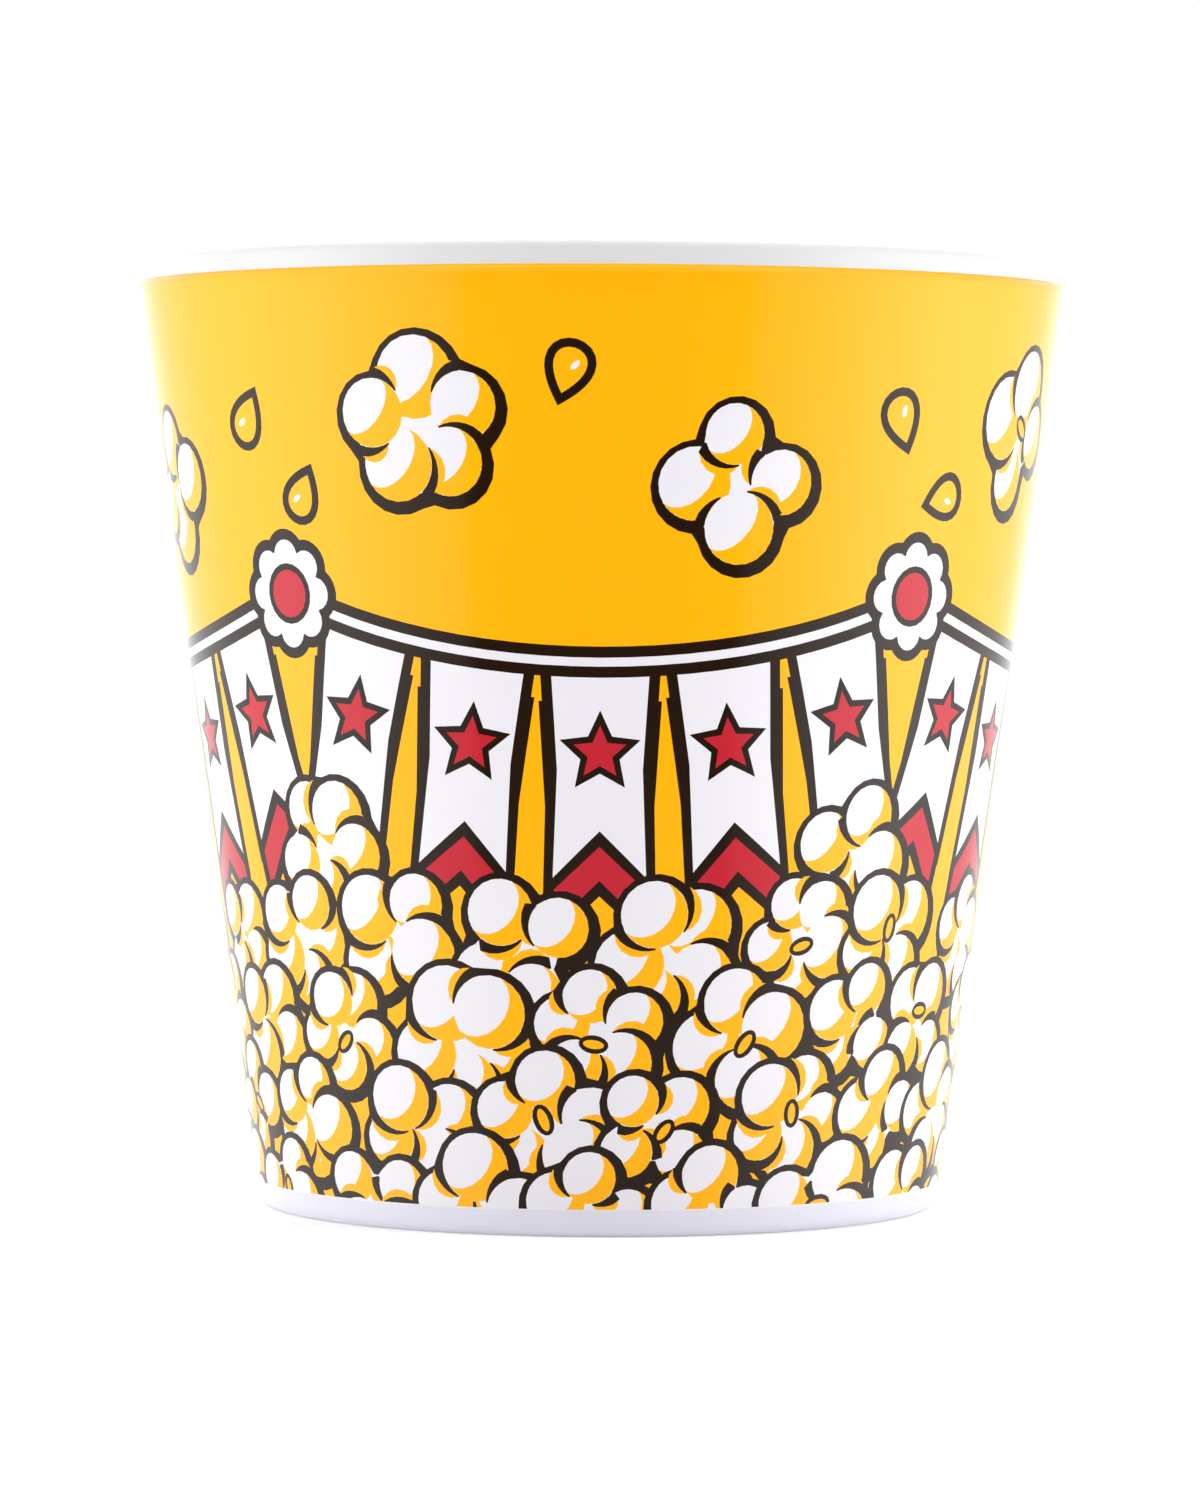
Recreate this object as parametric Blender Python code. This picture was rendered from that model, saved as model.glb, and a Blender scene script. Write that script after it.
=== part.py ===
# Popcorn bucket: one thin-walled moulding with a tapered round wall, a beaded lip and a foot ring
# Metres, +Z up. The origin is the centre of the face that the bucket stands on.

from math import radians, sin, sqrt, tan

import bmesh
import bpy
from mathutils import Matrix, Vector

# Driving sizes of the bucket
HEIGHT = 0.1800
LIP_RADIUS = 0.0900
LIP_HEIGHT = 0.0042
WALL_RADIUS_AT_LIP = 0.0884
WALL_RADIUS_AT_BASE = 0.0653
WALL_THICKNESS = 0.0012
FLOOR_THICKNESS = 0.0015

# The lip is a bead round the mouth, which the wall flares out to meet
LIP_ROUND = 0.0016
LIP_INNER_ROUND = 0.0005
FLARE_ROUND = 0.0017

# The floor is raised inside a foot ring, so that the bucket stands on the ring alone
FOOT_DEPTH = 0.0020
FOOT_WIDTH = 0.0042
BASE_ROUND = 0.0030
FOOT_ROUND = 0.0012
INSIDE_ROUND = 0.0040

# The print is moulded into the outside of the wall, and leaves a plain band above the base
PRINT_BOTTOM = 0.0052

# How finely the rounds are cut
SEGMENTS = 96
STEPS_LARGE = 5
STEPS_SMALL = 3
SHARP_ANGLE = radians(35)
MERGE_DISTANCE = 0.00001

# Colours are linear red, green, blue
WHITE_PLASTIC = (0.80, 0.80, 0.82)
YELLOW_PRINT = (0.93, 0.46, 0.01)
PLASTIC_ROUGHNESS = 0.3
PRINT_ROUGHNESS = 0.25


def clear_scene():
    for thing in list(bpy.data.objects):
        bpy.data.objects.remove(thing, do_unlink=True)


def plastic(name, colour, roughness):
    material = bpy.data.materials.new(name)
    material.use_nodes = True
    shader = material.node_tree.nodes["Principled BSDF"]
    shader.inputs["Base Color"].default_value = (*colour, 1.0)
    shader.inputs["Roughness"].default_value = roughness
    shader.inputs["Metallic"].default_value = 0.0
    return material


def wall_radius(height):
    """The outer radius of the straight tapered wall at a height."""
    lip_edge = HEIGHT - LIP_HEIGHT
    return WALL_RADIUS_AT_BASE + (WALL_RADIUS_AT_LIP - WALL_RADIUS_AT_BASE) * height / lip_edge


def taper():
    """How far the wall leans outwards for each metre of height."""
    return (WALL_RADIUS_AT_LIP - WALL_RADIUS_AT_BASE) / (HEIGHT - LIP_HEIGHT)


def inner_radius(height):
    return wall_radius(height) - WALL_THICKNESS * sqrt(1 + taper() ** 2)


def round_corner(before, corner, after, radius, steps):
    """Points of the round that takes the place of a corner between two straight runs."""
    corner = Vector(corner)
    back = (Vector(before) - corner).normalized()
    ahead = (Vector(after) - corner).normalized()
    half_angle = back.angle(ahead) / 2
    centre = corner + (back + ahead).normalized() * (radius / sin(half_angle))
    to_first = corner + back * (radius / tan(half_angle)) - centre
    turn_angle = radians(180) - 2 * half_angle
    turns_right = back.y * ahead.x - back.x * ahead.y < 0
    if turns_right:
        turn_angle = -turn_angle
    points = []
    for step in range(steps + 1):
        spoke = to_first.copy()
        spoke.rotate(Matrix.Rotation(turn_angle * step / steps, 2))
        points.append(tuple(centre + spoke))
    return points


def inside_profile():
    """From the middle of the floor out along it, round the corner and up the inner wall."""
    floor_top = FOOT_DEPTH + FLOOR_THICKNESS
    middle = (0.0, floor_top)
    corner = (inner_radius(floor_top), floor_top)
    wall_top = (inner_radius(HEIGHT), HEIGHT)
    return [middle] + round_corner(middle, corner, wall_top, INSIDE_ROUND, STEPS_LARGE)


def lip_profile():
    """Over the top of the lip, down its face and back in through the flare to the wall."""
    floor_top = FOOT_DEPTH + FLOOR_THICKNESS
    lip_foot = HEIGHT - LIP_HEIGHT
    wall_below = (inner_radius(floor_top), floor_top)
    mouth = (inner_radius(HEIGHT), HEIGHT)
    top_corner = (LIP_RADIUS, HEIGHT)
    foot_corner = (LIP_RADIUS, lip_foot)
    flare_corner = (wall_radius(lip_foot), lip_foot)
    wall_foot = (wall_radius(PRINT_BOTTOM), PRINT_BOTTOM)
    points = round_corner(wall_below, mouth, top_corner, LIP_INNER_ROUND, STEPS_SMALL)
    points += round_corner(mouth, top_corner, foot_corner, LIP_ROUND, STEPS_LARGE)
    points += [foot_corner]
    points += round_corner(foot_corner, flare_corner, wall_foot, FLARE_ROUND, STEPS_LARGE)
    return points


def outside_profile():
    """From the print's lower edge round the base, across the foot ring and under the floor."""
    print_edge = (wall_radius(PRINT_BOTTOM), PRINT_BOTTOM)
    base_corner = (wall_radius(0.0), 0.0)
    foot_inside = wall_radius(0.0) - BASE_ROUND - FOOT_WIDTH
    foot_corner = (foot_inside, 0.0)
    foot_top = (foot_inside - FOOT_DEPTH * taper(), FOOT_DEPTH)
    points = [print_edge]
    points += round_corner(print_edge, base_corner, foot_corner, BASE_ROUND, STEPS_LARGE)
    points += round_corner(base_corner, foot_corner, foot_top, FOOT_ROUND, STEPS_SMALL)
    points += [foot_top, (0.0, FOOT_DEPTH)]
    return points


def turn(points):
    """A closed shell: the profile turned once round the upright axis."""
    shell = bmesh.new()
    vertices = [shell.verts.new((radius, 0.0, height)) for radius, height in points]
    edges = [shell.edges.new(pair) for pair in zip(vertices, vertices[1:])]
    bmesh.ops.spin(
        shell,
        geom=vertices + edges,
        cent=(0.0, 0.0, 0.0),
        axis=(0.0, 0.0, 1.0),
        angle=radians(360),
        steps=SEGMENTS,
        use_merge=True,
    )
    bmesh.ops.remove_doubles(shell, verts=shell.verts, dist=MERGE_DISTANCE)
    bmesh.ops.recalc_face_normals(shell, faces=shell.faces)
    return shell


def mark_print(shell):
    """Gives the outside of the wall, between the plain band and the lip, the second material."""
    for face in shell.faces:
        middle = face.calc_center_median()
        middle_of_wall = (inner_radius(middle.z) + wall_radius(middle.z)) / 2
        on_wall = PRINT_BOTTOM < middle.z < HEIGHT - LIP_HEIGHT
        outside = Vector((middle.x, middle.y)).length > middle_of_wall
        face.material_index = 1 if on_wall and outside else 0


def build_bucket():
    shell = turn(inside_profile() + lip_profile() + outside_profile())
    mark_print(shell)
    mesh = bpy.data.meshes.new("bucket")
    shell.to_mesh(mesh)
    shell.free()
    mesh.materials.append(plastic("white moulded plastic", WHITE_PLASTIC, PLASTIC_ROUGHNESS))
    mesh.materials.append(plastic("yellow moulded-in print", YELLOW_PRINT, PRINT_ROUGHNESS))
    mesh.shade_smooth()
    mesh.set_sharp_from_angle(angle=SHARP_ANGLE)
    bucket = bpy.data.objects.new("bucket", mesh)
    bpy.context.scene.collection.objects.link(bucket)


clear_scene()
build_bucket()
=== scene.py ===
import random
from math import atan2, cos, pi, radians, sin, sqrt, tan

import bmesh
import bpy
from bpy.props import FloatProperty, FloatVectorProperty, IntProperty, PointerProperty
from mathutils import Matrix, Vector
from mathutils.bvhtree import BVHTree
from mathutils.geometry import delaunay_2d_cdt


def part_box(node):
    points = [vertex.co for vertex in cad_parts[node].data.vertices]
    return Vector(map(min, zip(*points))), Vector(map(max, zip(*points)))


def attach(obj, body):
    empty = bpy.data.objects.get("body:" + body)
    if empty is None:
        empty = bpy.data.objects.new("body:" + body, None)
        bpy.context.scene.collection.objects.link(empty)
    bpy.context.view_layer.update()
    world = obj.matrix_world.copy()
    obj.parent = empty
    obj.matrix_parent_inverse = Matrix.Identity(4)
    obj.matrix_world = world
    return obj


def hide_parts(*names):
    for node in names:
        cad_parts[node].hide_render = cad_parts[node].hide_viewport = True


# Popcorn bucket: one white moulding, with a glossy printed film moulded into the outside of its wall
# Metres, +Z up, standing on its foot ring. The print is drawn on the unrolled wall, in millimetres.

bl_info = {
    "name": "Popcorn bucket",
    "version": (1, 0, 0),
    "blender": (4, 5, 0),
    "location": "3D View > Sidebar > Popcorn bucket",
    "description": "Models a printed plastic popcorn bucket and its studio",
    "category": "Object",
}

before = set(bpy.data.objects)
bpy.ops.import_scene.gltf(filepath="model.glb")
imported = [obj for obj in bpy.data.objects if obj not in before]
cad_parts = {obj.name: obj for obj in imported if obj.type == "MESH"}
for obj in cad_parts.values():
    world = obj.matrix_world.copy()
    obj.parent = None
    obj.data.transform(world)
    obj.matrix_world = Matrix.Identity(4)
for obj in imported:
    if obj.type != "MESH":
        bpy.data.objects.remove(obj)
CAD_HIGH = Vector(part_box("bucket")[1])
HEIGHT = CAD_HIGH.z
LIP_RADIUS = CAD_HIGH.x

MM = 0.001
FULL_TURN = 2 * pi

# Inks, in the order of the film's materials
WHITE, YELLOW, DARK, RED = range(4)


def linear(hex_colour):
    """An sRGB hex colour as linear red, green and blue."""
    channels = []
    for start in (1, 3, 5):
        value = int(hex_colour[start:start + 2], 16) / 255
        channels.append(value / 12.92 if value <= 0.04045 else ((value + 0.055) / 1.055) ** 2.4)
    return tuple(channels)


def length_property(name, description, default):
    return FloatProperty(name=name, description=description, default=default, unit="LENGTH", precision=5)


def angle_property(name, description, degrees):
    return FloatProperty(name=name, description=description, default=radians(degrees), subtype="ANGLE")


def power_property(name, description, watts):
    return FloatProperty(name=name, description=description, default=watts, unit="POWER")


def lens_property(name, description, length_mm):
    return FloatProperty(name=name, description=description, default=length_mm, unit="CAMERA")


def colour_property(name, description, hex_colour):
    return FloatVectorProperty(
        name=name, description=description, default=linear(hex_colour), subtype="COLOR", size=3, min=0, max=1
    )


# Settings that a user may change


class BucketSizes(bpy.types.PropertyGroup):
    """Sizes of the moulding, the same as the solid's."""

    lip_height: length_property("Lip height", "From the top of the lip to its lower edge", 0.0042)
    lip_round: length_property("Lip round", "Round on the lip's outer top edge", 0.0016)
    lip_inner_round: length_property("Lip inner round", "Round on the mouth's edge", 0.0005)
    flare_round: length_property("Flare round", "Hollow round where the wall flares out to the lip", 0.0017)
    radius_at_lip: length_property("Radius at lip", "Outside of the wall at the lip's lower edge", 0.0884)
    radius_at_base: length_property("Radius at base", "Outside of the wall carried down to the base", 0.0653)
    wall: length_property("Wall", "Thickness of the wall", 0.0012)
    floor: length_property("Floor", "Thickness of the floor", 0.0015)
    foot_depth: length_property("Foot depth", "How far the floor is raised inside the foot ring", 0.0020)
    foot_width: length_property("Foot width", "Width of the foot ring", 0.0042)
    base_round: length_property("Base round", "Round on the outer edge of the base", 0.0030)
    foot_round: length_property("Foot round", "Round on the foot ring's inner edge", 0.0012)
    inside_round: length_property("Inside round", "Round where the floor meets the inner wall", 0.0040)
    gate_radius: length_property("Gate radius", "Radius of the moulding gate's mark under the floor", 0.0016)
    gate_height: length_property("Gate height", "Height of the moulding gate's mark", 0.0004)
    film: length_property("Film", "Thickness of the printed film", 0.0001)
    steps: IntProperty(name="Steps", description="Facets round the bucket", default=240, min=24)


class PrintLook(bpy.types.PropertyGroup):
    """The inks, and what is drawn with them."""

    white: colour_property("White ink", "Faces of the puffs and the pennants", "#E6E4EB")
    yellow: colour_property("Yellow ink", "Ground of the print and the shading of the puffs", "#FFB300")
    dark: colour_property("Dark ink", "Outlines", "#241509")
    red: colour_property("Red ink", "Stars and the shadows of the pennants", "#C02433")
    plastic: colour_property("White plastic", "The moulding itself", "#D4D4D6")
    # The base colour is partly the band's own faint violet cast and partly painted light: it is lighter than
    # the plastic to stand in for light bounced up from the floor
    base: colour_property("Base", "The moulding's plain band at the base", "#DDDCE9")
    stroke: FloatProperty(name="Outline", description="Width of the outlines, in mm", default=2.0)
    puff: FloatProperty(name="Puff", description="Half the width of a puff in the heap, in mm", default=13.0)
    heap: FloatProperty(name="Heap", description="Height of the heap between its waves, in mm", default=68.0)
    seed: IntProperty(name="Seed", description="Start of the random draws", default=11)


class StageLook(bpy.types.PropertyGroup):
    """The camera and the studio round the bucket."""

    distance: length_property("Distance", "From the camera to the bucket's axis", 1.157)
    eye_height: length_property("Eye height", "Of the camera above the surface", 0.1188)
    tilt: angle_property("Tilt", "How far the camera looks down", 1.57)
    roll: angle_property("Roll", "How far the camera leans", 0.28)
    lens: lens_property("Lens", "Focal length, on a frame 36 mm high", 144.3)
    top: power_property("Top light", "Power of the light over the bucket", 6.5)
    side: power_property("Side lights", "Power of each softbox at the side", 10.0)
    room: FloatProperty(name="Room", description="Brightness of the white studio", default=1.04)


# The moulding's outline, as points (radius, height) in metres

ROUND_STEPS = 8
GATE_STEPS = 3
SHARP_ANGLE = radians(35)

# The print leaves a plain band above the base. The film ends a little below it in a white margin,
# and a gap parts it from the edges and the bottom of its seat.
PRINT_BOTTOM = 0.0052
FILM_MARGIN = 0.0003
SEAT_GAP = 0.00002

# Points that are nearer than this are joined
WELD = 0.000002


def taper(sizes):
    """How far the wall leans outwards for each metre of height."""
    return (sizes.radius_at_lip - sizes.radius_at_base) / (HEIGHT - sizes.lip_height)


def wall_radius(sizes, height):
    return sizes.radius_at_base + taper(sizes) * height


def inner_radius(sizes, height):
    return wall_radius(sizes, height) - sizes.wall * sqrt(1 + taper(sizes) ** 2)


def round_corner(before, corner, after, radius, steps):
    """Points of the round that takes the place of a corner between two straight runs."""
    corner = Vector(corner)
    back = (Vector(before) - corner).normalized()
    ahead = (Vector(after) - corner).normalized()
    half_angle = back.angle(ahead) / 2
    centre = corner + (back + ahead).normalized() * (radius / sin(half_angle))
    to_first = corner + back * (radius / tan(half_angle)) - centre
    turn_angle = pi - 2 * half_angle
    turns_right = back.y * ahead.x - back.x * ahead.y < 0
    if turns_right:
        turn_angle = -turn_angle
    points = []
    for step in range(steps + 1):
        spoke = to_first.copy()
        spoke.rotate(Matrix.Rotation(turn_angle * step / steps, 2))
        points.append(tuple(centre + spoke))
    return points


class OuterWall:
    """The outside of the wall as the film follows it: straight, then flaring out to the lip's lower edge."""

    def __init__(self, sizes):
        self.sizes = sizes
        self.lean = atan2(taper(sizes), 1.0)
        lip_foot = HEIGHT - sizes.lip_height
        self.flare_start = lip_foot - sizes.flare_round * (1 - sin(self.lean))
        start_radius = wall_radius(sizes, self.flare_start)
        self.flare_centre = (start_radius + sizes.flare_round * cos(self.lean), lip_foot - sizes.flare_round)
        self.flare_turn = pi / 2 - self.lean
        self.top = self.flare_start + sizes.flare_round * self.flare_turn

    def point(self, along, depth=0.0):
        """Radius and height at a distance along the wall, which is its height up to the flare."""
        if along <= self.flare_start:
            radius = wall_radius(self.sizes, along) - depth * cos(self.lean)
            return radius, along + depth * sin(self.lean)
        angle = pi - self.lean - (along - self.flare_start) / self.sizes.flare_round
        reach = self.sizes.flare_round + depth
        return self.flare_centre[0] + reach * cos(angle), self.flare_centre[1] + reach * sin(angle)

    def normal(self, along):
        """The outward direction there, as radius and height."""
        if along <= self.flare_start:
            return cos(self.lean), -sin(self.lean)
        angle = pi - self.lean - (along - self.flare_start) / self.sizes.flare_round
        return -cos(angle), -sin(angle)

    def flare_levels(self, steps):
        """Distances along the wall at which the flare is cut."""
        return [self.flare_start + (self.top - self.flare_start) * step / steps for step in range(steps + 1)]


def inside_outline(sizes):
    floor_top = sizes.foot_depth + sizes.floor
    middle = (0.0, floor_top)
    corner = (inner_radius(sizes, floor_top), floor_top)
    mouth = (inner_radius(sizes, HEIGHT), HEIGHT)
    return [middle] + round_corner(middle, corner, mouth, sizes.inside_round, ROUND_STEPS)


def lip_outline(sizes):
    """Over the lip and down its face to its lower edge."""
    floor_top = sizes.foot_depth + sizes.floor
    wall_below = (inner_radius(sizes, floor_top), floor_top)
    mouth = (inner_radius(sizes, HEIGHT), HEIGHT)
    top_corner = (LIP_RADIUS, HEIGHT)
    foot_corner = (LIP_RADIUS, HEIGHT - sizes.lip_height)
    points = round_corner(wall_below, mouth, top_corner, sizes.lip_inner_round, ROUND_STEPS)
    points += round_corner(mouth, top_corner, foot_corner, sizes.lip_round, ROUND_STEPS)
    return points + [foot_corner]


def seat_outline(sizes, film_bottom):
    """Down the shallow seat that the film lies in, from the lip to the plain band."""
    wall = OuterWall(sizes)
    depth = sizes.film + SEAT_GAP
    top = wall.point(wall.top)
    points = [(top[0] + SEAT_GAP, top[1]), (top[0] + SEAT_GAP, top[1] + depth)]
    points += [wall.point(level, depth) for level in reversed(wall.flare_levels(ROUND_STEPS))]
    seat_foot = film_bottom - SEAT_GAP
    return points + [wall.point(seat_foot, depth), wall.point(seat_foot)]


def base_outline(sizes, film_bottom):
    """Round the base, across the foot ring and under the floor to the gate's mark in its middle."""
    band_top = (wall_radius(sizes, film_bottom), film_bottom)
    base_corner = (wall_radius(sizes, 0.0), 0.0)
    foot_inside = wall_radius(sizes, 0.0) - sizes.base_round - sizes.foot_width
    foot_corner = (foot_inside, 0.0)
    foot_top = (foot_inside - sizes.foot_depth * taper(sizes), sizes.foot_depth)
    gate_edge = (sizes.gate_radius, sizes.foot_depth)
    gate_corner = (sizes.gate_radius, sizes.foot_depth - sizes.gate_height)
    gate_middle = (0.0, sizes.foot_depth - sizes.gate_height)
    points = round_corner(band_top, base_corner, foot_corner, sizes.base_round, ROUND_STEPS)
    points += round_corner(base_corner, foot_corner, foot_top, sizes.foot_round, ROUND_STEPS)
    points += [foot_top, gate_edge]
    points += round_corner(gate_edge, gate_corner, gate_middle, sizes.gate_height / 2, GATE_STEPS)
    return points + [gate_middle]


def turn(points, steps):
    """A closed shell: the outline turned once round the upright axis."""
    shell = bmesh.new()
    vertices = [shell.verts.new((radius, 0.0, height)) for radius, height in points]
    edges = [shell.edges.new(pair) for pair in zip(vertices, vertices[1:])]
    bmesh.ops.spin(
        shell,
        geom=vertices + edges,
        cent=(0.0, 0.0, 0.0),
        axis=(0.0, 0.0, 1.0),
        angle=FULL_TURN,
        steps=steps,
        use_merge=True,
    )
    bmesh.ops.remove_doubles(shell, verts=shell.verts, dist=WELD)
    bmesh.ops.recalc_face_normals(shell, faces=shell.faces)
    return shell


def finish_piece(name, shape, materials):
    """Makes a mesh object of a bmesh, at the origin, that rides on the bucket's body."""
    mesh = bpy.data.meshes.new(name)
    shape.to_mesh(mesh)
    shape.free()
    for material in materials:
        mesh.materials.append(material)
    piece = bpy.data.objects.new(name, mesh)
    bpy.context.scene.collection.objects.link(piece)
    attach(piece, "root")
    return piece


# Drawing the print: a shape is an ink and a list of points in mm, and shapes are painted one over another

# Lengths of what is drawn are in mm, and its shares are of its own size or of the outline's width
REPEATS = 4

# Cosine of half the turn of the sharpest corner that an outline follows out to its full point
MITRE_LIMIT = 0.45

# The cord of a swag, and the pennants that hang on it with a shadow behind each
SWAG_HEIGHT = 117.0
SWAG_SAG = 12.0
SWAG_STEPS = 24
CORD_WIDTH = 1.6
PENNANTS = 5
PENNANT_WIDTH = 18.0
PENNANT_GAP = 4.4
PENNANT_LENGTH = 39.0
PENNANT_NOTCH = 8.5
WAIST_WIDTH = 0.86
TAIL_WIDTH = 0.94
SHARE_OF_SLOPE = 0.6
SHADOW_OFFSET = (0.0, -9.0)

# The star on a pennant
STAR_POINTS = 5
STAR_WAIST = 0.46
STAR_SIZE = 0.28
STAR_LEVEL = 0.42
STAR_STROKE = 0.6

# The rosette between two swags: petals round a button
ROSETTE_RADIUS = 9.5
PETALS = 8
PETAL_REACH = 0.72
PETAL_RADIUS = 0.32
ROSETTE_STEPS = 64
BUTTON_RADIUS = 0.46
BUTTON_STROKE = 0.6
BUTTON_STEPS = 20

# The heap of puffs, in rows that are staggered
PUFFS_ROUND = 18
ROW_START = 5.0
ROW_PITCH = 1.24
HEAP_WAVE = 9.0
PLACE_JITTER = 0.12
PUFF_SIZES = (0.86, 1.10)
EDGE_REACH = 0.4

# A puff: four or five lobes round a middle disc, in an outline that is heavier at the lower right
LOBE_COUNTS = (4, 4, 5, 5)
LOBE_JITTER = 0.14
LOBE_RADII = (0.38, 0.50)
MIDDLE_RADIUS = 0.50
OUTLINE_WIDTH = 0.92
HEAVY_SIDE = (0.20, -0.28)
OUTLINE_STEPS = 40
LOBE_STEPS = 20

# The yellow crescent on a lobe reaches this many of the lobe's steps to each side of its shaded side
SHADE_SIDE = radians(-40)
CRESCENT_REACH = 6
CRESCENT_STEPS = 9
CRESCENT_DEPTHS = (0.50, 0.80)

# The fold where one lobe laps over the next: a line that tapers, with yellow shade behind it.
# It turns by an angle in radians, and starts that much before the place where the two rims meet.
FOLD_STEPS = 7
FOLD_TURNS = (0.9, 1.5)
FOLD_OVERLAP = 0.22
FOLD_WIDTH = 1.15
FOLD_TIP = 0.2
FOLD_SHADE = 2.0
LEAST_SHADE = 0.05

# The split hull that shows in some of the puffs
HULLS = 0.5
HULL_PLACES = (0.05, 0.22)
HULL_RADIUS = 0.16
HULL_SQUASH = 0.42
HULL_STEPS = 14
HULL_STROKE = 0.4
HULL_RIM_SQUASH = 0.62
HULL_RIM_STEPS = 16

# A kernel, with a patch of shine
KERNEL_STEPS = 24
KERNEL_WIDTH = 0.95
KERNEL_STROKE = 0.8
SHINE_PLACE = (-0.22, -0.30)
SHINE_RADIUS = 0.26
SHINE_SQUASH = 0.5
SHINE_LEAN = radians(60)
SHINE_STEPS = 10

# What floats above the swags, as angle in degrees from the middle of a swag, height and size
LOOSE_PUFFS = ((-23, 148, 15.5), (17, 137, 14.5))
KERNELS = ((-4, 157, 4.2), (40, 149, 4.4), (-41, 135, 4.0))


def polar(length, angle):
    return Vector((length * cos(angle), length * sin(angle)))


def ellipse(centre, radius, count, squash=1.0, lean=0.0):
    points = []
    for index in range(count):
        angle = FULL_TURN * index / count
        point = Vector((radius * cos(angle), radius * squash * sin(angle)))
        point.rotate(Matrix.Rotation(lean, 2))
        points.append(Vector(centre) + point)
    return points


def turned(shapes, angle):
    """The shapes turned about their own middle."""
    spin = Matrix.Rotation(angle, 2)
    return [(ink, [spin @ point for point in points]) for ink, points in shapes]


def moved(shapes, place):
    return [(ink, [Vector(place) + point for point in points]) for ink, points in shapes]


def grown(points, margin):
    """A closed outline moved outwards by a margin, with its corners kept."""
    points = counter_clockwise(points)
    count = len(points)
    result = []
    for index, point in enumerate(points):
        before = (point - points[index - 1]).normalized()
        after = (points[(index + 1) % count] - point).normalized()
        side_before = Vector((before.y, -before.x))
        side_after = Vector((after.y, -after.x))
        middle = (side_before + side_after).normalized()
        result.append(point + middle * (margin / max(middle.dot(side_after), MITRE_LIMIT)))
    return result


def stroke_outline(middle, widths):
    """The outline of a brush stroke along a line of points, with its width at each."""
    left = []
    right = []
    for index, point in enumerate(middle):
        ahead = middle[min(index + 1, len(middle) - 1)]
        behind = middle[max(index - 1, 0)]
        along = (ahead - behind).normalized()
        side = Vector((-along.y, along.x)) * (widths[index] / 2)
        left.append(point + side)
        right.append(point - side)
    return right + left[::-1]


def counter_clockwise(points):
    area = sum(a.x * b.y - b.x * a.y for a, b in zip(points, points[1:] + points[:1]))
    return points if area > 0 else points[::-1]


def cluster_outline(lobes, grow, count):
    """Points round a cluster of overlapping discs, each grown by a margin, seen from its middle."""
    points = []
    for index in range(count):
        angle = FULL_TURN * index / count
        ray = Vector((cos(angle), sin(angle)))
        reach = 0.0
        for centre, radius in lobes:
            along = centre.dot(ray)
            gap = (radius + grow) ** 2 - (centre.length_squared - along ** 2)
            if gap > 0:
                reach = max(reach, along + sqrt(gap))
        points.append(ray * reach)
    return points


def puff_lobes(rng, size):
    """Discs of an uneven puff, set round its middle, as (centre, radius)."""
    count = rng.choice(LOBE_COUNTS)
    start = rng.uniform(0, FULL_TURN)
    lobes = []
    for index in range(count):
        angle = start + FULL_TURN * (index + rng.uniform(-LOBE_JITTER, LOBE_JITTER)) / count
        radius = size * rng.uniform(*LOBE_RADII)
        lobes.append((polar(size - radius, angle), radius))
    return lobes


def meeting(one, other):
    """Where the rims of two overlapping discs cross, on the side away from the puff's middle."""
    (centre, radius), (next_centre, next_radius) = one, other
    apart = next_centre - centre
    along = (apart.length_squared + radius ** 2 - next_radius ** 2) / (2 * apart.length)
    rise = sqrt(max(radius ** 2 - along ** 2, 0.0))
    foot = centre + apart.normalized() * along
    across = Vector((apart.y, -apart.x)).normalized() * rise
    return max((foot + across, foot - across), key=lambda point: point.length)


def draw_lobe(centre, radius, depth):
    """A white ball with a yellow crescent on its shaded side, which shares the points of its rim."""
    step_angle = FULL_TURN / LOBE_STEPS
    first_angle = SHADE_SIDE - step_angle * CRESCENT_REACH
    rim = [centre + polar(radius, first_angle + step_angle * step) for step in range(LOBE_STEPS)]
    crescent = rim[:2 * CRESCENT_REACH + 1]
    end_angle = step_angle * CRESCENT_REACH
    chord = radius * cos(end_angle)
    bulge = radius - depth - chord
    for step in range(1, CRESCENT_STEPS):
        angle = pi / 2 - pi * step / CRESCENT_STEPS
        point = Vector((chord + bulge * cos(angle), radius * sin(end_angle) * sin(angle)))
        point.rotate(Matrix.Rotation(SHADE_SIDE, 2))
        crescent.append(centre + point)
    return [(WHITE, rim), (YELLOW, crescent)]


def draw_puff(rng, size, stroke):
    """A rounded puff: dark outline, and white lobes with a yellow shaded side that lap over one another."""
    lobes = puff_lobes(rng, size)
    cluster = lobes + [(Vector((0.0, 0.0)), size * MIDDLE_RADIUS)]
    shift = Vector(HEAVY_SIDE) * stroke
    outline = [point + shift for point in cluster_outline(cluster, stroke * OUTLINE_WIDTH, OUTLINE_STEPS)]
    shapes = [(DARK, outline), (WHITE, cluster_outline(cluster, 0.0, OUTLINE_STEPS))]
    last = len(lobes) - 1
    for index in range(last, -1, -1):
        centre, radius = lobes[index]
        shapes += draw_lobe(centre, radius, radius * rng.uniform(*CRESCENT_DEPTHS))
        if index < last:
            shapes += draw_fold(rng, lobes[index], lobes[index + 1], 1, stroke)
    shapes += draw_fold(rng, lobes[0], lobes[last], -1, stroke)
    if rng.random() < HULLS:
        shapes += draw_hull(rng, size, stroke)
    return shapes


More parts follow.
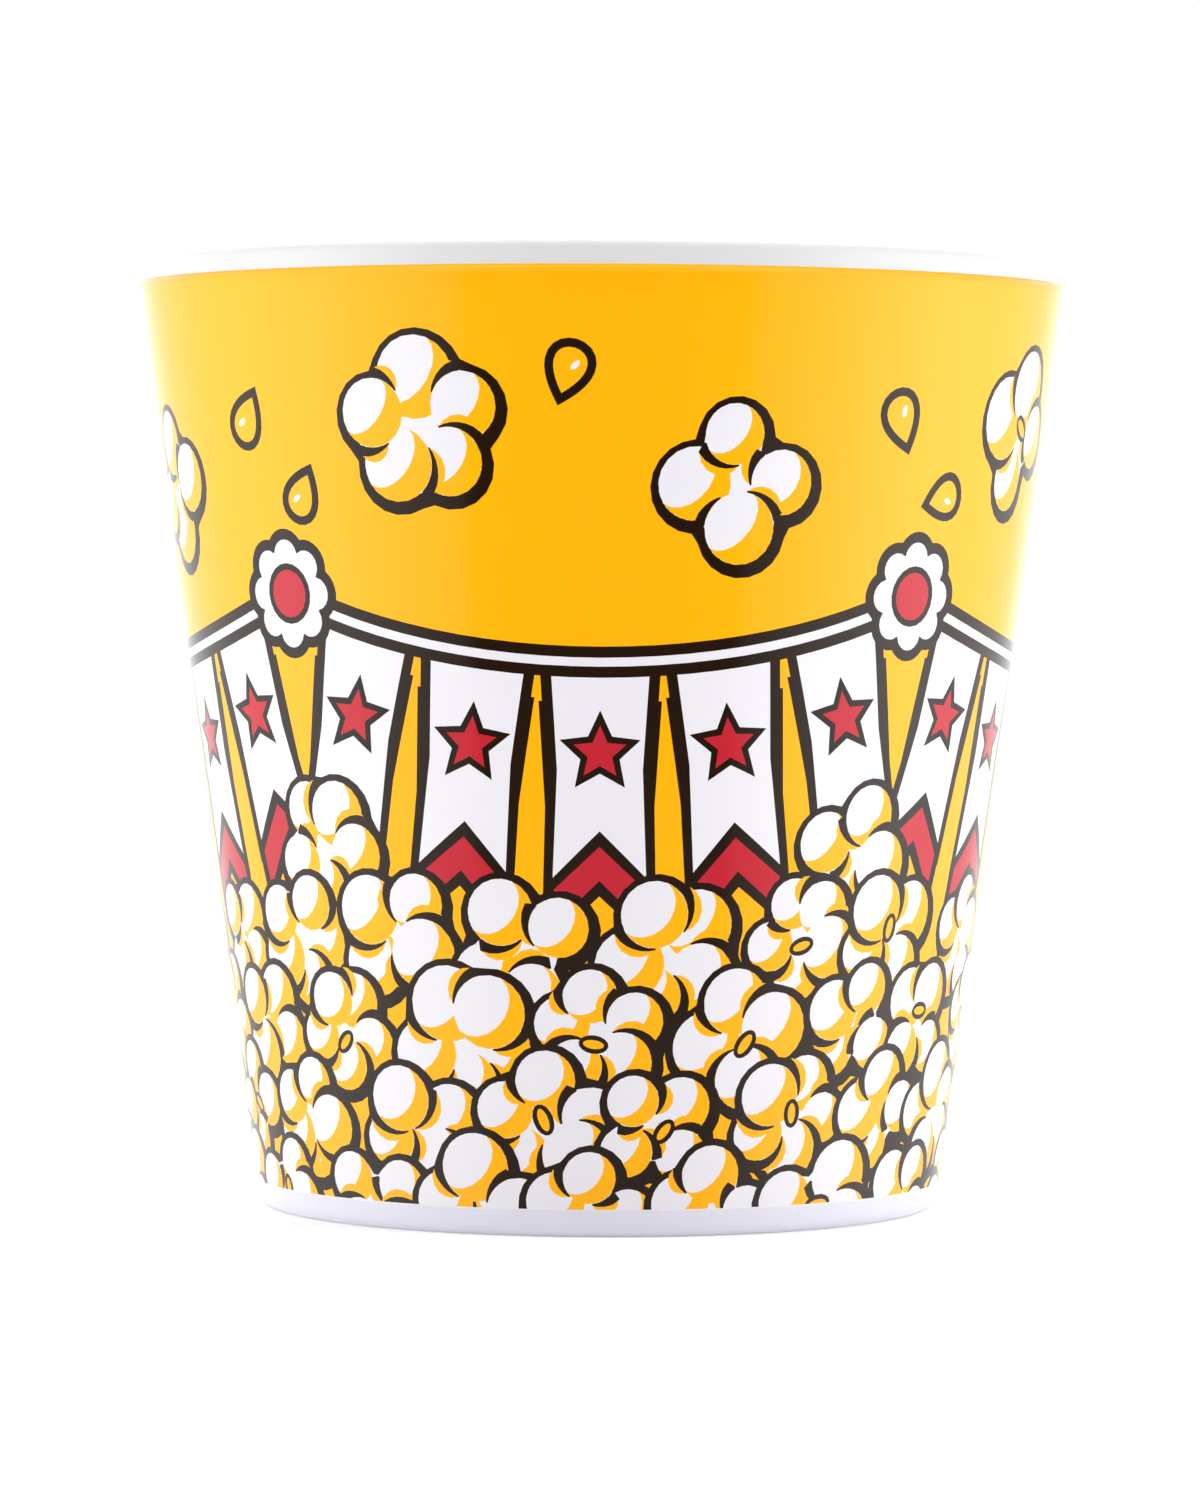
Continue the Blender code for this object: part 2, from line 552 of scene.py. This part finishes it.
def draw_fold(rng, lobe, lobe_behind, side, stroke):
    """A tapering line that carries a lobe's rim on into the puff, with yellow shade on the lobe behind it."""
    centre, radius = lobe
    spot = meeting(lobe, lobe_behind)
    start = atan2(spot.y - centre.y, spot.x - centre.x)
    length = rng.uniform(*FOLD_TURNS)
    line = []
    shade = []
    line_widths = []
    shade_widths = []
    for step in range(FOLD_STEPS + 1):
        share = step / FOLD_STEPS
        angle = start + side * (length * share - FOLD_OVERLAP)
        width = stroke * (FOLD_WIDTH - share) * (1.0 if step else FOLD_TIP)
        fade = FOLD_SHADE * sin(pi * share) + LEAST_SHADE
        line_widths.append(width)
        shade_widths.append(fade)
        line.append(centre + polar(radius + width / 2, angle))
        shade.append(centre + polar(radius + width / 2 + fade / 2, angle))
    return [(YELLOW, stroke_outline(shade, shade_widths)), (DARK, stroke_outline(line, line_widths))]


def draw_hull(rng, size, stroke):
    """The split yellow hull, with its dark rim."""
    place = polar(size * rng.uniform(*HULL_PLACES), rng.uniform(0, FULL_TURN))
    lean = rng.uniform(0, pi)
    radius = size * HULL_RADIUS
    rim = ellipse(place, radius + stroke * HULL_STROKE, HULL_RIM_STEPS, HULL_RIM_SQUASH, lean)
    hull = ellipse(place, radius, HULL_STEPS, HULL_SQUASH, lean)
    return [(DARK, rim), (YELLOW, hull)]


def draw_kernel(size, stroke):
    """A golden kernel: a drop with a light patch."""
    drop = []
    for index in range(KERNEL_STEPS):
        angle = FULL_TURN * index / KERNEL_STEPS
        drop.append(Vector((KERNEL_WIDTH * size * sin(angle) * sin(angle / 2), size * cos(angle))))
    place = Vector(SHINE_PLACE) * size
    shine = ellipse(place, size * SHINE_RADIUS, SHINE_STEPS, SHINE_SQUASH, SHINE_LEAN)
    return [(DARK, grown(drop, stroke * KERNEL_STROKE)), (YELLOW, drop), (WHITE, shine)]


def draw_star(size, stroke):
    """A plain five-pointed star."""
    star = []
    for index in range(2 * STAR_POINTS):
        reach = size if index % 2 == 0 else size * STAR_WAIST
        star.append(polar(reach, pi / 2 + pi * index / STAR_POINTS))
    return [(DARK, grown(star, stroke)), (RED, star)]


def pennant_outline(width, length, notch):
    """A flag that hangs from its top edge, cut to a swallow tail."""
    half = width / 2
    waist = half * WAIST_WIDTH
    tail = half * TAIL_WIDTH
    return [
        Vector((-half, 0.0)),
        Vector((-waist, -length / 2)),
        Vector((-tail, -length)),
        Vector((0.0, -length + notch)),
        Vector((tail, -length)),
        Vector((waist, -length / 2)),
        Vector((half, 0.0)),
    ]


def swag_drop(across, span, sag):
    """Height of a swagged cord below its ends."""
    return -sag * (1 - (2 * across / span) ** 2)


def swag_slope(across, span, sag):
    """Angle of a swagged cord to the level."""
    return atan2(8 * sag * across, span ** 2)


def draw_swag(span, sag, count, stroke):
    """A cord that hangs between two ends, with a row of starred pennants on it and their shadows behind."""
    rims = []
    shadows = []
    flags = []
    for index in range(count):
        across = (index - (count - 1) / 2) * (PENNANT_WIDTH + PENNANT_GAP)
        hang = (across, swag_drop(across, span, sag))
        lean = SHARE_OF_SLOPE * swag_slope(across, span, sag)
        flag = pennant_outline(PENNANT_WIDTH, PENNANT_LENGTH, PENNANT_NOTCH)
        shadow = [point + Vector(SHADOW_OFFSET) for point in flag]
        rims += moved(turned([(DARK, grown(shadow, stroke))], lean), hang)
        shadows += moved(turned([(RED, shadow)], lean), hang)
        star = draw_star(PENNANT_WIDTH * STAR_SIZE, stroke * STAR_STROKE)
        star = moved(star, (0.0, -PENNANT_LENGTH * STAR_LEVEL))
        flags += moved(turned([(DARK, grown(flag, stroke)), (WHITE, flag)] + star, lean), hang)
    line = []
    for index in range(SWAG_STEPS + 1):
        across = span * (index / SWAG_STEPS - 0.5)
        line.append(Vector((across, swag_drop(across, span, sag))))
    cord = [
        (DARK, stroke_outline(line, [CORD_WIDTH + 2 * stroke] * len(line))),
        (WHITE, stroke_outline(line, [CORD_WIDTH] * len(line))),
    ]
    return rims + shadows + flags + cord


def draw_rosette(size, stroke):
    """A scalloped rosette that hides where two swags meet."""
    petals = []
    for index in range(PETALS):
        petals.append((polar(size * PETAL_REACH, FULL_TURN * index / PETALS), size * PETAL_RADIUS))
    button = size * BUTTON_RADIUS
    return [
        (DARK, cluster_outline(petals, stroke, ROSETTE_STEPS)),
        (WHITE, cluster_outline(petals, 0.0, ROSETTE_STEPS)),
        (DARK, ellipse((0, 0), button + stroke * BUTTON_STROKE, BUTTON_STEPS)),
        (RED, ellipse((0, 0), button, BUTTON_STEPS)),
    ]


class Sheet:
    """The unrolled wall, on which shapes are placed by angle and height and painted in order."""

    def __init__(self, sizes):
        self.wall = OuterWall(sizes)
        self.sizes = sizes
        self.bottom = PRINT_BOTTOM / MM
        self.top = self.wall.top / MM
        self.middle_radius = self.radius(0.5 * (self.bottom + self.top))
        self.width = FULL_TURN * self.middle_radius
        self.shapes = []

    def radius(self, height):
        return wall_radius(self.sizes, height * MM) / MM

    def place(self, shapes, angle, height):
        """Paints shapes drawn in mm about a spot given by its angle from the front and its height."""
        for ink, points in shapes:
            flat = []
            for point in points:
                level = height + point.y
                flat.append(Vector((self.middle_radius * (angle + point.x / self.radius(level)), level)))
            self.paint(ink, flat)

    def paint(self, ink, points):
        """Adds a shape, and adds it again on the far side where it crosses the seam at the back."""
        if max(point.y for point in points) < self.bottom:
            return
        half = self.width / 2
        for shift in (-self.width, 0.0, self.width):
            shifted = [Vector((point.x + shift, point.y)) for point in points]
            if any(-half < point.x < half for point in shifted):
                self.shapes.append((ink, shifted))


def draw_heap(sheet, look, rng):
    """Staggered rows of puffs, from the crest of each wave down to the print's lower edge."""
    pitch = look.puff * ROW_PITCH
    crest = look.heap + HEAP_WAVE
    for row in range(int(crest / pitch), -1, -1):
        level = ROW_START + row * pitch
        for index in range(PUFFS_ROUND):
            place = index + 0.5 * (row % 2) + rng.uniform(-PLACE_JITTER, PLACE_JITTER)
            angle = FULL_TURN * place / PUFFS_ROUND - pi
            height = level + rng.uniform(-PLACE_JITTER, PLACE_JITTER) * look.puff
            puff = draw_puff(rng, look.puff * rng.uniform(*PUFF_SIZES), look.stroke)
            edge = look.heap - HEAP_WAVE * cos(REPEATS * angle)
            if height < edge - EDGE_REACH * look.puff:
                sheet.place(puff, angle, height)


def draw_print(sheet, look):
    """Paints the whole film, from the ground up to the heap at the front."""
    rng = random.Random(look.seed)
    span = FULL_TURN * sheet.radius(SWAG_HEIGHT) / REPEATS
    for repeat in range(REPEATS):
        middle = FULL_TURN * repeat / REPEATS
        for angle, height, size in KERNELS:
            kernel = turned(draw_kernel(size, look.stroke), rng.uniform(0, FULL_TURN))
            sheet.place(kernel, middle + radians(angle), height)
        for angle, height, size in LOOSE_PUFFS:
            sheet.place(draw_puff(rng, size, look.stroke), middle + radians(angle), height)
        sheet.place(draw_swag(span, SWAG_SAG, PENNANTS, look.stroke), middle, SWAG_HEIGHT)
    for repeat in range(REPEATS):
        middle = FULL_TURN * (repeat + 0.5) / REPEATS
        sheet.place(draw_rosette(ROSETTE_RADIUS, look.stroke), middle, SWAG_HEIGHT)
    draw_heap(sheet, look, rng)


# The film: the painted sheet cut into inked faces, wrapped round the wall and given its thickness

FILM_STEPS = 180

# What the cutting function gives: the insides of the faces, or all that is within the outermost points
CUT_INSIDE = 1
CUT_CONVEX = 0

# In mm: points this near are joined in cutting, and points this near to a side of the sheet are moved onto it
CUT_NEARNESS = 0.0001
SNAP = 0.001

# How nearly a face has to face outwards, as a cosine, to belong to the printed side
OUTWARD = 0.8


def cut_drawing(sheet):
    """The sheet cut along every outline, as points, triangles and the top-most ink of each triangle."""
    bottom = sheet.bottom - FILM_MARGIN / MM
    half = sheet.width / 2
    ground = rectangle(-half, half, bottom, sheet.top)
    strip = rectangle(-half, half, bottom, sheet.bottom)
    points = []
    faces = []
    inks = []
    for ink, outline in [(YELLOW, ground)] + sheet.shapes + [(WHITE, strip)]:
        faces.append(list(range(len(points), len(points) + len(outline))))
        points += counter_clockwise(outline)
        inks.append(ink)
    found = delaunay_2d_cdt(points, [], faces, CUT_INSIDE, CUT_NEARNESS)
    places, _, triangles, _, _, sources = found
    kept = [(corners, inks[max(over)]) for corners, over in zip(triangles, sources) if 0 in over]
    return places, [corners for corners, _ in kept], [ink for _, ink in kept]


def rectangle(left, right, low, high):
    return [Vector((left, low)), Vector((right, low)), Vector((right, high)), Vector((left, high))]


def ink_borders(triangles, inks):
    """The edges at which one ink meets another, or the sheet ends."""
    inks_beside = {}
    for corners, ink in zip(triangles, inks):
        for start, end in zip(corners, corners[1:] + corners[:1]):
            edge = (min(start, end), max(start, end))
            inks_beside.setdefault(edge, []).append(ink)
    return [edge for edge, beside in inks_beside.items() if len(beside) == 1 or beside[0] != beside[1]]


def snapped(value, lines):
    """The value, or the line next to it, which makes the sheet's sides straight to the last digit."""
    return next((line for line in lines if abs(value - line) < SNAP), value)


def cut_sheet(sheet, steps):
    """Cuts the sheet again along the inks' borders and upright lines alone, to be bent round the wall."""
    drawn, triangles, inks = cut_drawing(sheet)
    lookup = BVHTree.FromPolygons([(point.x, point.y, 0.0) for point in drawn], triangles)
    points = [point.copy() for point in drawn]
    edges = ink_borders(triangles, inks)
    half = sheet.width / 2
    bottom = sheet.bottom - FILM_MARGIN / MM
    columns = [-half + sheet.width * step / steps for step in range(1, steps)]
    lines = [(Vector((x, bottom)), Vector((x, sheet.top))) for x in columns]
    levels = [along / MM for along in sheet.wall.flare_levels(ROUND_STEPS)[:-1]]
    lines += [(Vector((-half, y)), Vector((half, y))) for y in levels]
    for start, end in lines:
        edges.append((len(points), len(points) + 1))
        points += [start, end]
    corners_used = sorted({corner for edge in edges for corner in edge})
    new_index = {corner: index for index, corner in enumerate(corners_used)}
    points = [points[corner] for corner in corners_used]
    for point in points:
        point.x = snapped(point.x, (-half, half))
        point.y = snapped(point.y, (bottom, sheet.bottom, sheet.top))
    edges = [(new_index[start], new_index[end]) for start, end in edges]
    places, _, triangles, _, _, _ = delaunay_2d_cdt(points, edges, [], CUT_CONVEX, CUT_NEARNESS)
    cut = []
    for corners in triangles:
        middle = sum((places[corner] for corner in corners), Vector((0.0, 0.0))) / len(corners)
        found = lookup.find_nearest((middle.x, middle.y, 0.0))[2]
        cut.append((corners, inks[found]))
    return places, cut


def wrap_sheet(sheet, places, cut):
    """The outside of the film as a bmesh, one ring closed at the back."""
    film = bmesh.new()
    used = sorted({corner for corners, _ in cut for corner in corners})
    vertices = {}
    for index in used:
        angle = places[index].x / sheet.middle_radius
        radius, height = sheet.wall.point(places[index].y * MM)
        vertices[index] = film.verts.new((radius * sin(angle), -radius * cos(angle), height))
    for corners, ink in cut:
        face = film.faces.new([vertices[corner] for corner in corners])
        face.material_index = ink
        face.smooth = True
    bmesh.ops.remove_doubles(film, verts=film.verts, dist=WELD)
    return film


def ring_height(edge):
    return (edge.verts[0].co.z + edge.verts[1].co.z) / 2


def line_film(sheet, film):
    """Gives the film its back: the lower rim is drawn in and up the back of the film to the upper rim."""
    depth = sheet.sizes.film
    border = [edge for edge in film.edges if edge.is_boundary]
    split = HEIGHT / 2
    ring = [edge for edge in border if ring_height(edge) < split]
    upper_rim = [edge for edge in border if ring_height(edge) > split]
    bottom = sheet.bottom * MM - FILM_MARGIN
    stations = [(bottom, depth)]
    stations += [(level, depth) for level in sheet.wall.flare_levels(ROUND_STEPS)]
    for level, inset in stations:
        grown_ring = bmesh.ops.extrude_edge_only(film, edges=ring)["geom"]
        ring = [item for item in grown_ring if isinstance(item, bmesh.types.BMEdge)]
        radius, height = sheet.wall.point(level, inset)
        for vertex in {vertex for edge in ring for vertex in edge.verts}:
            outward = Vector((vertex.co.x, vertex.co.y)).normalized()
            vertex.co = (outward.x * radius, outward.y * radius, height)
    bmesh.ops.bridge_loops(film, edges=ring + upper_rim)
    bmesh.ops.recalc_face_normals(film, faces=film.faces)


def set_film_normals(sheet, mesh):
    """Gives the printed side the smooth wall's own normals, whatever triangles the drawing made."""
    normals = []
    tolerance = sheet.sizes.film / 3
    for polygon in mesh.polygons:
        for index in polygon.vertices:
            place = mesh.vertices[index].co
            radius = Vector((place.x, place.y)).length
            along, on_wall = nearest_on_wall(sheet.wall, radius, place.z, tolerance)
            out, up = sheet.wall.normal(along)
            normal = Vector((place.x / radius * out, place.y / radius * out, up))
            faces_out = polygon.normal.dot(normal) > OUTWARD
            normals.append(normal if on_wall and faces_out else Vector((0.0, 0.0, 0.0)))
    mesh.normals_split_custom_set(normals)


def nearest_on_wall(wall, radius, height, tolerance):
    """How far along the wall a point is, and whether it lies on its outside."""
    if height <= wall.flare_start:
        return height, abs(radius - wall.point(height)[0]) < tolerance
    across = radius - wall.flare_centre[0]
    up = height - wall.flare_centre[1]
    angle = atan2(up, across)
    along = wall.flare_start + (pi - wall.lean - angle) * wall.sizes.flare_round
    off = abs(sqrt(across ** 2 + up ** 2) - wall.sizes.flare_round)
    return min(along, wall.top), off < tolerance


# Materials

PAPER_WHITE = 0.9


def add_node(tree, kind, inputs=None, **settings):
    """Adds a node, sets its options, and sets or links its inputs."""
    node = tree.nodes.new(kind)
    for name, value in settings.items():
        setattr(node, name, value)
    for socket, value in (inputs or {}).items():
        if isinstance(value, bpy.types.NodeSocket):
            tree.links.new(value, node.inputs[socket])
        else:
            node.inputs[socket].default_value = value
    return node


def new_material(name):
    material = bpy.data.materials.new(name)
    material.use_nodes = True
    material.node_tree.nodes.clear()
    return material, material.node_tree


def noise(tree, size_mm, detail):
    """A number that varies softly in blotches of about a size, on the piece's own coordinates."""
    places = add_node(tree, "ShaderNodeTexCoord")
    blotches = add_node(
        tree,
        "ShaderNodeTexNoise",
        {"Vector": places.outputs["Object"], "Scale": 1 / (size_mm * MM), "Detail": detail},
    )
    return blotches.outputs["Fac"]


def between(tree, value, start, end, low=0.0, high=1.0):
    """A number that goes from low to high while the value goes from start to end."""
    spread = add_node(
        tree,
        "ShaderNodeMapRange",
        {"Value": value, "From Min": start, "From Max": end, "To Min": low, "To Max": high},
    )
    return spread.outputs["Result"]


def relief(tree, height, strength, depth):
    """The surface's normal with bumps of a depth in metres."""
    bumps = add_node(tree, "ShaderNodeBump", {"Height": height, "Strength": strength, "Distance": depth})
    return bumps.outputs["Normal"]


def add_shader(tree, inputs):
    shader = add_node(tree, "ShaderNodeBsdfPrincipled", inputs)
    add_node(tree, "ShaderNodeOutputMaterial", {"Surface": shader.outputs["BSDF"]})


def moulded_polypropylene(name, colour, band_colour_with_painted_bounce):
    """Glossy white polypropylene from a polished mould, slightly waxy."""
    material, tree = new_material(name)
    # The plain band at the base has a faint violet cast of its own. Its lighter colour is painted light,
    # standing in for light bounced up from the surface the bucket stands on
    places = add_node(tree, "ShaderNodeTexCoord")
    parts = add_node(tree, "ShaderNodeSeparateXYZ", {"Vector": places.outputs["Object"]})
    above_painted_band = between(tree, parts.outputs["Z"], PRINT_BOTTOM, 3 * PRINT_BOTTOM)
    colour_with_painted_band_light = add_node(
        tree,
        "ShaderNodeMix",
        {"Factor": above_painted_band, "A": (*band_colour_with_painted_bounce, 1.0), "B": (*colour, 1.0)},
        data_type="RGBA",
    )
    # An uneven polish and slight ripples keep the highlights from looking machined
    inputs = {
        "Base Color": colour_with_painted_band_light.outputs["Result"],
        "Roughness": between(tree, noise(tree, size_mm=12.0, detail=0.0), 0.0, 1.0, low=0.29, high=0.35),
        "Normal": relief(tree, noise(tree, size_mm=8.0, detail=0.0), strength=0.1, depth=0.00003),
        "IOR": 1.49,
        "Specular IOR Level": 0.25,
    }
    add_shader(tree, inputs)
    return material


def film_ink(name, colour):
    """Ink behind the clear face of a moulded-in polypropylene film: sharp gloss over a flat, even colour."""
    material, tree = new_material(name)
    # The fine orange peel breaks up the edges of what the gloss reflects
    inputs = {
        "Base Color": (*colour, 1.0),
        "Roughness": between(tree, noise(tree, size_mm=6.0, detail=3.0), 0.0, 1.0, low=0.07, high=0.12),
        "Normal": relief(tree, noise(tree, size_mm=1.5, detail=2.0), strength=0.3, depth=0.00002),
        "IOR": 1.49,
    }
    add_shader(tree, inputs)
    return material


def studio_paper():
    """Matt white background paper with a fine tooth. Its faint glow takes the grey out of the far floor."""
    material, tree = new_material("matt white background paper")
    inputs = {
        "Base Color": (PAPER_WHITE, PAPER_WHITE, PAPER_WHITE, 1.0),
        "Roughness": 0.9,
        "Normal": relief(tree, noise(tree, size_mm=1.0, detail=2.0), strength=0.1, depth=0.0001),
        "Emission Color": (1.0, 1.0, 1.0, 1.0),
        "Emission Strength": 0.15,
    }
    add_shader(tree, inputs)
    return material


# The stage

FLOOR_HALF_WIDTH = 6.0

# Brightness of the studio's walls by their direction, in degrees to the right of the camera
WALL_PEAK = 4.0
WALLS = (
    (-180, 1.4),
    (-155, 1.3),
    (-140, 1.1),
    (-115, 1.1),
    (-95, 1.4),
    (-74, 1.3),
    (-64, 1.0),
    (-47, 0.6),
    (-38, 0.4),
    (-34, 0.02),
    (37, 0.02),
    (41, 0.35),
    (47, 0.5),
    (56, 0.8),
    (65, 1.1),
    (84, 1.7),
    (100, 1.7),
    (115, 1.2),
    (140, 1.0),
    (155, 1.3),
    (180, 1.4),
)

# Below the horizon, between two upright parts of a direction, the walls dim to a share of their light
FLOOR_DIMS = (-0.42, -0.22, 0.6)

# The gloss of the bucket's lower half shows a table there too, this bright as a share of the walls' peak
TABLE_GLOWS = (-0.34, -0.28, 0.11)

# What the camera itself sees behind the bucket
BACKDROP = 1.05

# Places and widths of the lights. The softboxes stand at both sides, a little in front.
TOP_LIGHT = (0.0, -0.2, 1.6)
TOP_LIGHT_WIDTH = 1.6
LEFT_SOFTBOX = (-1.36, -0.45, 0.6)
RIGHT_SOFTBOX = (1.36, -0.45, 0.6)
SOFTBOX_WIDTH = 1.0

# Height of the camera's frame in mm
SENSOR_HEIGHT = 36.0


def lay_floor():
    shape = bmesh.new()
    bmesh.ops.create_grid(shape, x_segments=1, y_segments=1, size=FLOOR_HALF_WIDTH)
    mesh = bpy.data.meshes.new("floor")
    shape.to_mesh(mesh)
    shape.free()
    mesh.materials.append(studio_paper())
    floor = bpy.data.objects.new("floor", mesh)
    bpy.context.scene.collection.objects.link(floor)
    floor.visible_glossy = False


def wall_brightness(tree, direction):
    """Brightness of the studio's walls by the way round from the camera, as a share of its peak."""
    towards_camera = add_node(tree, "ShaderNodeMath", {0: direction["Y"], 1: -1.0}, operation="MULTIPLY")
    azimuth = add_node(
        tree,
        "ShaderNodeMath",
        {0: direction["X"], 1: towards_camera.outputs["Value"]},
        operation="ARCTAN2",
    )
    way_round = between(tree, azimuth.outputs["Value"], -pi, pi)
    walls = add_node(tree, "ShaderNodeValToRGB", {"Fac": way_round})
    ramp = walls.color_ramp
    while len(ramp.elements) > 1:
        ramp.elements.remove(ramp.elements[0])
    for index, (degrees, brightness) in enumerate(WALLS):
        position = degrees / 360 + 0.5
        stop = ramp.elements[0] if index == 0 else ramp.elements.new(position)
        stop.position = position
        stop.color = (brightness / WALL_PEAK,) * 3 + (1.0,)
    return walls.outputs["Color"]


def light_studio(look):
    """White walls all round but for the dark opening where the camera stands, seen in the bucket's gloss."""
    world = bpy.data.worlds.new("studio")
    world.use_nodes = True
    tree = world.node_tree
    tree.nodes.clear()
    places = add_node(tree, "ShaderNodeTexCoord")
    direction = add_node(tree, "ShaderNodeSeparateXYZ", {"Vector": places.outputs["Generated"]}).outputs
    floor_low, floor_high, floor_share = FLOOR_DIMS
    dimmer = between(tree, direction["Z"], floor_low, floor_high, floor_share, 1.0)
    table_low, table_high, table_share = TABLE_GLOWS
    table = between(tree, direction["Z"], table_low, table_high, table_share, 0.0)
    walls = wall_brightness(tree, direction)
    colour = add_node(tree, "ShaderNodeMath", {0: walls, 1: table}, operation="ADD")
    strength = add_node(tree, "ShaderNodeMath", {0: dimmer, 1: look.room * WALL_PEAK}, operation="MULTIPLY")
    glow = add_node(
        tree,
        "ShaderNodeBackground",
        {"Color": colour.outputs["Value"], "Strength": strength.outputs["Value"]},
    )
    backdrop = add_node(tree, "ShaderNodeBackground", {"Color": (1.0, 1.0, 1.0, 1.0), "Strength": BACKDROP})
    path = add_node(tree, "ShaderNodeLightPath")
    seen = add_node(
        tree,
        "ShaderNodeMixShader",
        {0: path.outputs["Is Camera Ray"], 1: glow.outputs["Background"], 2: backdrop.outputs["Background"]},
    )
    add_node(tree, "ShaderNodeOutputWorld", {"Surface": seen.outputs["Shader"]})
    bpy.context.scene.world = world


def hang_light(name, place, aim, width, power):
    lamp = bpy.data.lights.new(name, "AREA")
    lamp.shape = "SQUARE"
    lamp.size = width
    lamp.energy = power
    holder = bpy.data.objects.new(name, lamp)
    holder.location = place
    holder.rotation_euler = (Vector(place) - Vector(aim)).to_track_quat("Z", "Y").to_euler()
    bpy.context.scene.collection.objects.link(holder)


def set_camera(look):
    camera = bpy.data.cameras.new("camera")
    camera.sensor_fit = "VERTICAL"
    camera.sensor_height = SENSOR_HEIGHT
    camera.lens = look.lens
    stand = bpy.data.objects.new("camera", camera)
    turned_down = Matrix.Rotation(pi / 2 - look.tilt, 4, "X") @ Matrix.Rotation(look.roll, 4, "Z")
    stand.matrix_world = Matrix.Translation((0.0, -look.distance, look.eye_height)) @ turned_down
    bpy.context.scene.collection.objects.link(stand)
    bpy.context.scene.camera = stand


# The operators, one for each piece and one for the stage


class BUCKET_OT_mould_wall(bpy.types.Operator):
    """Moulds the white bucket, with a shallow seat for the film in the outside of its wall"""

    bl_idname = "bucket.mould_wall"
    bl_label = "Mould the bucket"

    def execute(self, context):
        sizes = context.scene.bucket_sizes
        look = context.scene.print_look
        outline = inside_outline(sizes) + lip_outline(sizes)
        outline += seat_outline(sizes, PRINT_BOTTOM - FILM_MARGIN)
        outline += base_outline(sizes, PRINT_BOTTOM - FILM_MARGIN - SEAT_GAP)
        shell = turn(outline, sizes.steps)
        for face in shell.faces:
            face.smooth = True
        white = moulded_polypropylene("glossy moulded white polypropylene", look.plastic, look.base)
        piece = finish_piece("moulded_bucket", shell, [white])
        piece.data.set_sharp_from_angle(angle=SHARP_ANGLE)
        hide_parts("bucket")
        return {"FINISHED"}


class BUCKET_OT_lay_print(bpy.types.Operator):
    """Draws the print, cuts the film to its inks and wraps it round the wall"""

    bl_idname = "bucket.lay_print"
    bl_label = "Lay the printed film"

    def execute(self, context):
        sizes = context.scene.bucket_sizes
        look = context.scene.print_look
        sheet = Sheet(sizes)
        draw_print(sheet, look)
        places, cut = cut_sheet(sheet, FILM_STEPS)
        film = wrap_sheet(sheet, places, cut)
        line_film(sheet, film)
        inks = [
            film_ink("white ink under glossy moulded-in film", look.white),
            film_ink("yellow ink under glossy moulded-in film", look.yellow),
            film_ink("dark brown ink under glossy moulded-in film", look.dark),
            film_ink("red ink under glossy moulded-in film", look.red),
        ]
        piece = finish_piece("printed_wall", film, inks)
        set_film_normals(sheet, piece.data)
        return {"FINISHED"}


class BUCKET_OT_set_stage(bpy.types.Operator):
    """Rolls out the floor, lights the studio and sets up the camera"""

    bl_idname = "bucket.set_stage"
    bl_label = "Set the stage"

    def execute(self, context):
        look = context.scene.stage_look
        context.scene.view_settings.view_transform = "Standard"
        lay_floor()
        light_studio(look)
        middle = (0.0, 0.0, HEIGHT / 2)
        hang_light("light over the bucket", TOP_LIGHT, middle, TOP_LIGHT_WIDTH, look.top)
        hang_light("softbox on the left", LEFT_SOFTBOX, middle, SOFTBOX_WIDTH, look.side)
        hang_light("softbox on the right", RIGHT_SOFTBOX, middle, SOFTBOX_WIDTH, look.side)
        set_camera(look)
        return {"FINISHED"}


class BUCKET_PT_sidebar(bpy.types.Panel):
    """Lists the bucket's pieces and settings"""

    bl_label = "Popcorn bucket"
    bl_space_type = "VIEW_3D"
    bl_region_type = "UI"
    bl_category = "Popcorn bucket"

    def draw(self, context):
        groups = (
            (BUCKET_OT_mould_wall, context.scene.bucket_sizes),
            (BUCKET_OT_lay_print, context.scene.print_look),
            (BUCKET_OT_set_stage, context.scene.stage_look),
        )
        for operator, settings in groups:
            box = self.layout.box()
            box.operator(operator.bl_idname)
            for name in settings.bl_rna.properties.keys():
                if name not in ("rna_type", "name"):
                    box.prop(settings, name)


CLASSES = (
    BucketSizes,
    PrintLook,
    StageLook,
    BUCKET_OT_mould_wall,
    BUCKET_OT_lay_print,
    BUCKET_OT_set_stage,
    BUCKET_PT_sidebar,
)


def register():
    for each in CLASSES:
        bpy.utils.register_class(each)
    bpy.types.Scene.bucket_sizes = PointerProperty(type=BucketSizes)
    bpy.types.Scene.print_look = PointerProperty(type=PrintLook)
    bpy.types.Scene.stage_look = PointerProperty(type=StageLook)


def unregister():
    del bpy.types.Scene.stage_look
    del bpy.types.Scene.print_look
    del bpy.types.Scene.bucket_sizes
    for each in reversed(CLASSES):
        bpy.utils.unregister_class(each)


def main():
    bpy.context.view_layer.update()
    register()
    bpy.ops.bucket.mould_wall()
    bpy.ops.bucket.lay_print()
    bpy.ops.bucket.set_stage()


if __name__ == "__main__":
    main()
